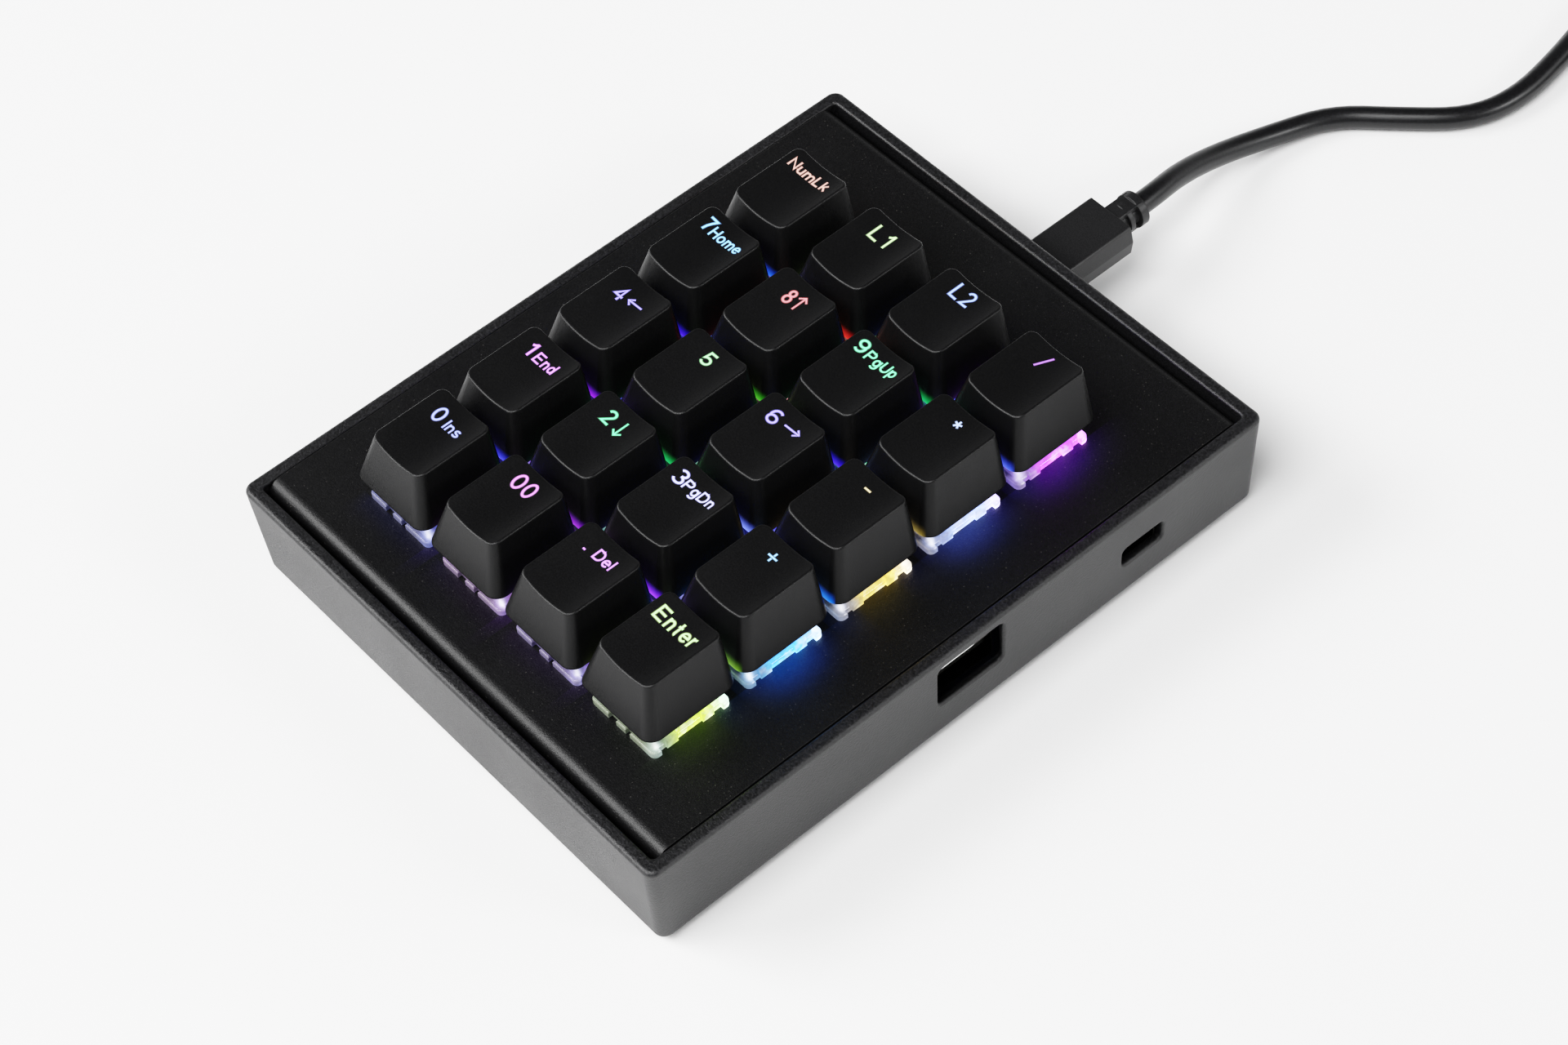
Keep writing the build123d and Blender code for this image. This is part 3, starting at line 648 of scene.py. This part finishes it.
# ---- legends ---------------------------------------------------------------------------------
# each mark: what it says, left, right, baseline and cap height, in mm from the key's middle
LEGENDS = {
    "num_lock": [("Num", -4.85, 0.85, 4.8, 2.15), ("Lk", 1.15, 4.3, 4.8, 2.15)],
    "l1": [("L1", -2.6, 1.45, 3.65, 3.25)],
    "l2": [("L2", -2.7, 1.75, 4.4, 3.3)],
    "divide": [("/", -1.05, 0.7, 3.9, 3.5)],
    "7": [("7", -4.6, -2.6, 4.2, 2.95), ("Home", -2.3, 4.85, 4.1, 2.25)],
    "8": [("8", -2.05, -0.4, 3.2, 3.15), ("up", -0.05, 2.1, 3.05, 3.6)],
    "9": [("9", -4.7, -2.75, 4.55, 2.9), ("PgUp", -2.15, 4.75, 4.55, 2.15)],
    "multiply": [("*", -1.0, 0.75, 5.2, 1.75)],
    "4": [("4", -3.1, -1.0, 3.0, 3.0), ("left", -0.35, 3.25, 3.6, 1.8)],
    "5": [("5", -1.25, 0.85, 4.1, 2.9)],
    "6": [("6", -3.6, -1.5, 3.7, 3.05), ("right", -0.35, 3.4, 4.45, 1.8)],
    "minus": [("-", -1.0, 0.7, 5.8, 0.65)],
    "1": [("1", -3.6, -2.35, 3.9, 2.9), ("End", -1.35, 3.6, 3.9, 2.2)],
    "2": [("2", -2.8, -0.75, 3.8, 3.0), ("down", 0.2, 2.4, 3.15, 3.6)],
    "3": [("3", -4.4, -2.35, 4.05, 3.0), ("PgDn", -2.1, 4.75, 4.3, 2.1)],
    "plus": [("+", -1.5, 0.8, 4.4, 2.25)],
    "0": [("0", -3.4, -1.4, 3.5, 3.1), ("Ins", -0.25, 3.45, 3.6, 2.1)],
    "00": [("00", -2.6, 2.05, 4.0, 3.25)],
    "point": [(".", -3.3, -2.5, 4.3, 0.9), ("Del", -1.1, 3.05, 4.3, 2.2)],
    "enter": [("Enter", -4.65, 4.45, 3.7, 2.85)],
}
# the colour of a mark's painted glow down the middle of its strokes; its edges have the lamp's
# own
LEGEND_GLOW = {
    "num_lock": (237, 208, 196),
    "l1": (230, 245, 207),
    "l2": (201, 228, 255),
    "divide": (215, 140, 245),
    "7": (188, 244, 255),
    "8": (241, 172, 182),
    "9": (151, 252, 227),
    "multiply": (222, 236, 253),
    "4": (205, 195, 255),
    "5": (213, 247, 217),
    "6": (212, 200, 255),
    "minus": (240, 232, 200),
    "1": (248, 188, 255),
    "2": (138, 252, 222),
    "3": (237, 239, 255),
    "plus": (200, 242, 254),
    "0": (202, 217, 255),
    "00": (250, 178, 255),
    "point": (246, 189, 255),
    "enter": (228, 249, 210),
}

# letters are drawn for a cap height of 1, with a pen this wide
PEN = 0.15
HALF = PEN / 2
X_HEIGHT = 0.72
LETTER_GAP = PEN + 0.13
ARROW_HEAD = 0.24


def arc(x, y, across, along, start, end):
    """Points of an elliptical arc, from one angle to another in degrees."""
    count = max(3, int(abs(end - start) / 15))
    angles = [radians(start + (end - start) * k / count) for k in range(count + 1)]
    return [(x + across * cos(a), y + along * sin(a)) for a in angles]


def bowl(x, across):
    """The round part of a small letter."""
    return arc(x, X_HEIGHT / 2, across, X_HEIGHT / 2 - HALF, 0, 360)


STEM = [(HALF, 0), (HALF, 1)]
SHORT_STEM = [(HALF, 0), (HALF, X_HEIGHT)]
# strokes of each letter, along their middle lines
GLYPHS = {
    "0": [arc(0.33, 0.5, 0.255, 0.425, 0, 360)],
    "1": [[(0.3, 0), (0.3, 1)], [(0.04, 0.73), (0.17, 0.81), (0.28, 0.95)]],
    "2": [arc(0.33, 0.7, 0.25, 0.225, 165, -35) + [(0.1, HALF), (0.66, HALF)]],
    "3": [arc(0.31, 0.73, 0.215, 0.195, 155, -90), arc(0.31, 0.3, 0.25, 0.225, 90, -160)],
    "4": [[(0.5, 0), (0.5, 0.9), (0.09, 0.3), (0.69, 0.3)]],
    "5": [[(0.6, 0.925), (0.17, 0.925), (0.11, 0.47)] + arc(0.32, 0.32, 0.26, 0.245, 140, -155)],
    "6": [arc(0.335, 0.315, 0.25, 0.24, 0, 360), arc(0.37, 0.56, 0.285, 0.365, 50, 195)],
    "7": [[(0, 0.925), (0.6, 0.925), (0.42, 0.64), (0.29, 0.34), (0.24, 0)]],
    "8": [arc(0.33, 0.74, 0.21, 0.185, 0, 360), arc(0.33, 0.3, 0.255, 0.225, 0, 360)],
    "9": [arc(0.325, 0.685, 0.25, 0.24, 0, 360), arc(0.29, 0.44, 0.285, 0.365, 15, -130)],
    "/": [[(0, 0), (0.42, 1)]],
    "*": [[(0, 0), (cos(radians(a)), sin(radians(a)))] for a in range(18, 378, 72)],
    "-": [[(0, 0), (1, 0)]],
    "+": [[(-1, 0), (1, 0)], [(0, -1), (0, 1)]],
    ".": [[(0, 0), (PEN, 0)]],
    "D": [
        STEM,
        [(HALF, 0.925), (0.4, 0.925)] + arc(0.4, 0.5, 0.36, 0.425, 90, -90) + [(HALF, HALF)],
    ],
    "E": [
        STEM,
        [(HALF, 0.925), (0.75, 0.925)],
        [(HALF, 0.52), (0.7, 0.52)],
        [(HALF, HALF), (0.76, HALF)],
    ],
    "H": [STEM, [(0.71, 0), (0.71, 1)], [(HALF, 0.53), (0.71, 0.53)]],
    "I": [STEM],
    "L": [[(HALF, 1), (HALF, HALF), (0.62, HALF)]],
    "N": [[(HALF, 0), (HALF, 0.93), (0.725, 0.07), (0.725, 1)]],
    "P": [
        STEM,
        [(HALF, 0.925), (0.46, 0.925)] + arc(0.46, 0.7, 0.225, 0.225, 90, -90) + [(HALF, 0.475)],
    ],
    "U": [[(HALF, 1), (HALF, 0.36)] + arc(0.393, 0.36, 0.318, 0.285, 180, 360) + [(0.711, 1)]],
    "d": [bowl(0.29, 0.215), [(0.555, 0), (0.555, 1)]],
    "e": [[(0.09, 0.38)] + arc(0.335, X_HEIGHT / 2, 0.26, X_HEIGHT / 2 - HALF, 5, 322)],
    "g": [
        bowl(0.3, 0.225),
        [(0.555, X_HEIGHT), (0.555, -0.03)] + arc(0.3, -0.03, 0.255, 0.185, -15, -150),
    ],
    "k": [STEM, [(HALF, 0.27), (0.53, 0.71)], [(0.24, 0.42), (0.56, 0.02)]],
    "l": [STEM],
    "m": [
        SHORT_STEM,
        arc(0.283, 0.42, 0.208, 0.225, 180, 0) + [(0.491, 0)],
        arc(0.7, 0.42, 0.208, 0.225, 180, 0) + [(0.908, 0)],
    ],
    "n": [SHORT_STEM, arc(0.29, 0.42, 0.215, 0.225, 180, 0) + [(0.505, 0)]],
    "o": [bowl(0.34, 0.265)],
    "p": [[(HALF, -0.28), (HALF, X_HEIGHT)], bowl(0.34, 0.225)],
    "r": [SHORT_STEM, arc(0.31, 0.39, 0.235, 0.25, 175, 80)],
    "s": [arc(0.295, 0.515, 0.195, 0.135, 20, 250) + arc(0.3, 0.21, 0.22, 0.135, 70, -165)],
    "t": [
        [(0.17, 0.95), (0.17, 0.2)] + arc(0.27, 0.19, 0.1, 0.115, 180, 275),
        [(0, 0.65), (0.34, 0.65)],
    ],
    "u": [
        [(HALF, X_HEIGHT), (HALF, 0.3)] + arc(0.29, 0.3, 0.215, 0.225, 180, 360),
        [(0.51, 0), (0.51, X_HEIGHT)],
    ],
}
# drawn signs, whose box takes in all of the sign rather than sitting on the baseline
SIGNS = ("/", "*", "-", "+", ".", "up", "down", "left", "right")
ARROWS = {"up": 0, "right": -90, "down": 180, "left": 90}
# in mm
FINE_PEN, BOLD_PEN = 0.31, 0.4
BOLD_HEIGHT = 2.4
DEEPEST = 1.0  # how far a letter may hang below its line
SMALLEST = 0.01  # keeps a mark that has no width or height from dividing by zero


def strokes_of(text):
    """Strokes of a word or sign, one letter after another."""
    if text in ARROWS:
        shaft = [(0, 0), (0, 1)]
        head = [(-ARROW_HEAD, 0.72), (0, 0.98), (ARROW_HEAD, 0.72)]
        turn = radians(ARROWS[text])
        return [
            [(x * cos(turn) - y * sin(turn), x * sin(turn) + y * cos(turn)) for x, y in stroke]
            for stroke in (shaft, head)
        ]
    strokes, start = [], 0.0
    for letter in text:
        drawn = GLYPHS[letter]
        low = min(x for stroke in drawn for x, _ in stroke)
        high = max(x for stroke in drawn for x, _ in stroke)
        strokes += [[(x - low + start, y) for x, y in stroke] for stroke in drawn]
        start += high - low + LETTER_GAP
    return strokes


def fitted(text, left, right, base, height):
    """The strokes of a mark in mm, filling its measured box, with the width of its pen."""
    strokes = strokes_of(text)
    xs = [x for stroke in strokes for x, _ in stroke]
    ys = [y for stroke in strokes for _, y in stroke]
    pen = FINE_PEN if height < BOLD_HEIGHT or text in ARROWS or text == "/" else BOLD_PEN
    wide = (right - left - pen) / max(max(xs) - min(xs), SMALLEST)
    if text in SIGNS:
        tall = (height - pen) / max(max(ys) - min(ys), SMALLEST)
        bottom = base + pen / 2 - min(ys) * tall
    else:
        tall = (height - pen) / (1 - PEN)
        bottom = base + pen / 2 - HALF * tall
    moved = []
    for stroke in strokes:
        placed = [
            (left + pen / 2 + (x - min(xs)) * wide, max(y * tall + bottom, base - DEEPEST))
            for x, y in stroke
        ]
        moved.append(placed)
    return moved, pen


PEN_END = 0.3  # how far the faded edge runs past a stroke's end, in pen widths
# across a stroke: offset in pen widths, height in mm, and how bright it is there
BAND = (
    (-0.9, 0.004, 0.0),
    (-0.55, 0.012, 0.5),
    (-0.3, 0.03, 1.0),
    (0.3, 0.03, 1.0),
    (0.55, 0.012, 0.5),
    (0.9, 0.004, 0.0),
)


def ribbon(bm, points, pen, core):
    """A slightly crowned band along a stroke: bright down its middle, fading past its edge."""
    closed = (Vector(points[0]) - Vector(points[-1])).length < 1e-4
    if closed:
        points = points[:-1]
    rows = []
    count = len(points)
    for i, point in enumerate(points):
        here = Vector(point)
        before = Vector(points[i - 1]) if i or closed else None
        after = Vector(points[(i + 1) % count]) if i < count - 1 or closed else None
        first = (here - before).normalized() if before else None
        second = (after - here).normalized() if after else first
        first = first or second
        along = (first + second).normalized()
        side = Vector((-along.y, along.x))
        mitre = 1.0 / max(side.dot(Vector((-first.y, first.x))), 0.5)
        row = []
        for offset, height, light in BAND:
            end = Vector((0.0, 0.0))
            if light == 0.0 and not before:
                end = -along * PEN_END * pen
            if light == 0.0 and not after:
                end = along * PEN_END * pen
            place = here + side * offset * pen * mitre + end
            vert = bm.verts.new((place.x, place.y, height))
            vert[core] = light
            row.append(vert)
        rows.append(row)
    pairs = list(zip(rows, rows[1:])) + ([(rows[-1], rows[0])] if closed else [])
    for one, two in pairs:
        for k in range(len(BAND) - 1):
            bm.faces.new((one[k], two[k], two[k + 1], one[k + 1]))


def legend_glow(name):
    """Clear plastic moulded through the cap, with the lamp's light coming out of it, painted on
    as a glow.
    """
    f = Finish(f"legend_{name}_light", IOR=1.5)
    core = f.add("ShaderNodeAttribute", {"attribute_name": "core"}).outputs["Fac"]
    speck = f.noise(2600.0, detail=2.0)
    bright = f.fit(core, 0.3, 0.9, 0.0, 1.0)
    f.feed(
        Base_Color=f.mix(core, linear(8, 8, 9), linear(90, 90, 92)),
        Emission_Color=f.mix(bright, shown(*GLOW[name]), shown(*LEGEND_GLOW[name])),
        Emission_Strength=f.math(
            "MULTIPLY", f.math("POWER", core, 1.5), f.fit(speck, 0.3, 0.7, 0.9, 1.1)
        ),
        Roughness=f.fit(speck, 0.3, 0.7, 0.4, 0.5),
    )
    return f.material


ABOVE = 5 * MM  # rays look for the dished top from here


def add_legend(name):
    """The marks of one key, laid on the dished top of its cap."""
    cap = NODES[f"keycap_{name}"]
    middle = key_middle(name)
    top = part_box(f"keycap_{name}")[1].z
    bm = bmesh.new()
    core = bm.verts.layers.float.new("core")
    for mark in LEGENDS[name]:
        strokes, pen = fitted(*mark)
        for stroke in strokes:
            ribbon(bm, stroke, pen, core)
    for v in bm.verts:
        x, y = middle.x + v.co.x * MM, middle.y + v.co.y * MM
        hit, spot, _, _ = cap.ray_cast(Vector((x, y, top + ABOVE)), Vector((0, 0, -1)))
        v.co = (x, y, (spot.z if hit else top) + v.co.z * MM)
    bmesh.ops.recalc_face_normals(bm, faces=bm.faces)
    mesh = bpy.data.meshes.new(f"legend_{name}")
    bm.to_mesh(mesh)
    bm.free()
    legend = bpy.data.objects.new(f"legend_{name}", mesh)
    bpy.context.scene.collection.objects.link(legend)
    mesh.materials.append(legend_glow(name))
    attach(legend, f"key_{name}")


for key in KEYS:
    add_legend(key)


# ---- floor and light -------------------------------------------------------------------------
def add_floor():
    """White paper under the keypad, wider than any view."""
    bm = bmesh.new()
    bmesh.ops.create_grid(bm, x_segments=8, y_segments=8, size=3.0)
    mesh = bpy.data.meshes.new("floor")
    bm.to_mesh(mesh)
    bm.free()
    floor = bpy.data.objects.new("floor", mesh)
    bpy.context.scene.collection.objects.link(floor)
    f = Finish("floor_paper", Roughness=0.9)
    f.feed(Base_Color=f.mix(f.noise(3.0), linear(244, 244, 245), linear(247, 247, 246)))
    mesh.materials.append(f.material)


def add_softbox(name, place, size, power):
    """A white rectangular light that faces the keypad."""
    data = bpy.data.lights.new(name, "AREA")
    data.shape = "RECTANGLE"
    data.size, data.size_y = size
    data.energy = power
    light = bpy.data.objects.new(name, data)
    bpy.context.scene.collection.objects.link(light)
    aim = -Vector(place)
    turn = aim.to_track_quat("-Z", "Y").to_matrix().to_4x4()
    light.matrix_world = Matrix.Translation(place) @ turn


# two directions in the tent, and how its light fades along each: from, to, and what is left
OVERHEAD = ((-0.2, 0.12, 1.0), 0.3, 0.75, 0.05)
PHOTOGRAPHER = ((0.78, -0.62, 0.0), 0.55, 0.92, 0.1)


def add_world():
    """A white tent, bright low down, dark overhead and dark where the photographer stands."""
    world = bpy.data.worlds.new("studio")
    bpy.context.scene.world = world
    world.use_nodes = True
    tree = world.node_tree
    background = tree.nodes["Background"]
    place = tree.nodes.new("ShaderNodeTexCoord")
    product = tree.nodes.new("ShaderNodeMath")
    product.operation = "MULTIPLY"
    for slot, (direction, low, high, end) in enumerate((OVERHEAD, PHOTOGRAPHER)):
        source = tree.nodes.new("ShaderNodeVectorMath")
        source.operation = "DOT_PRODUCT"
        source.inputs[1].default_value = direction
        fade = tree.nodes.new("ShaderNodeMapRange")
        fade.interpolation_type = "SMOOTHSTEP"
        bounds = {"From Min": low, "From Max": high, "To Min": 1.0, "To Max": end}
        for name, value in bounds.items():
            fade.inputs[name].default_value = value
        tree.links.new(place.outputs["Generated"], source.inputs[0])
        tree.links.new(source.outputs["Value"], fade.inputs["Value"])
        tree.links.new(fade.outputs["Result"], product.inputs[slot])
    tree.links.new(product.outputs["Value"], background.inputs["Strength"])
    background.inputs["Color"].default_value = PURE_WHITE


def set_film():
    """The picture's tone curve: deep blacks, and whites that roll off gently."""
    view = bpy.context.scene.view_settings
    view.view_transform = "Standard"
    view.use_curve_mapping = True
    tones = view.curve_mapping
    tones.white_level = (WHITE, WHITE, WHITE)
    curve = tones.curves[3]
    for light, screen in FILM[1:-1]:
        curve.points.new(light / WHITE, screen)
    curve.points[0].location = (0.0, 0.0)
    curve.points[-1].location = (1.0, FILM[-1][1])
    tones.update()


add_floor()
add_world()
set_film()
# place and size in metres, and power in watts
for name, place, size, power in (
    ("softbox_front", (0.3, -1.4, 2.6), (1.8, 1.8), 115.0),
    ("softbox_left", (-1.7, -1.6, 1.8), (1.6, 1.2), 84.0),
    ("softbox_right", (2.35, 1.1, 1.5), (0.8, 0.6), 20.0),
    ("softbox_back", (2.0, 2.2, 1.5), (1.8, 1.2), 8.0),
):
    add_softbox(name, place, size, power)
bpy.context.view_layer.update()
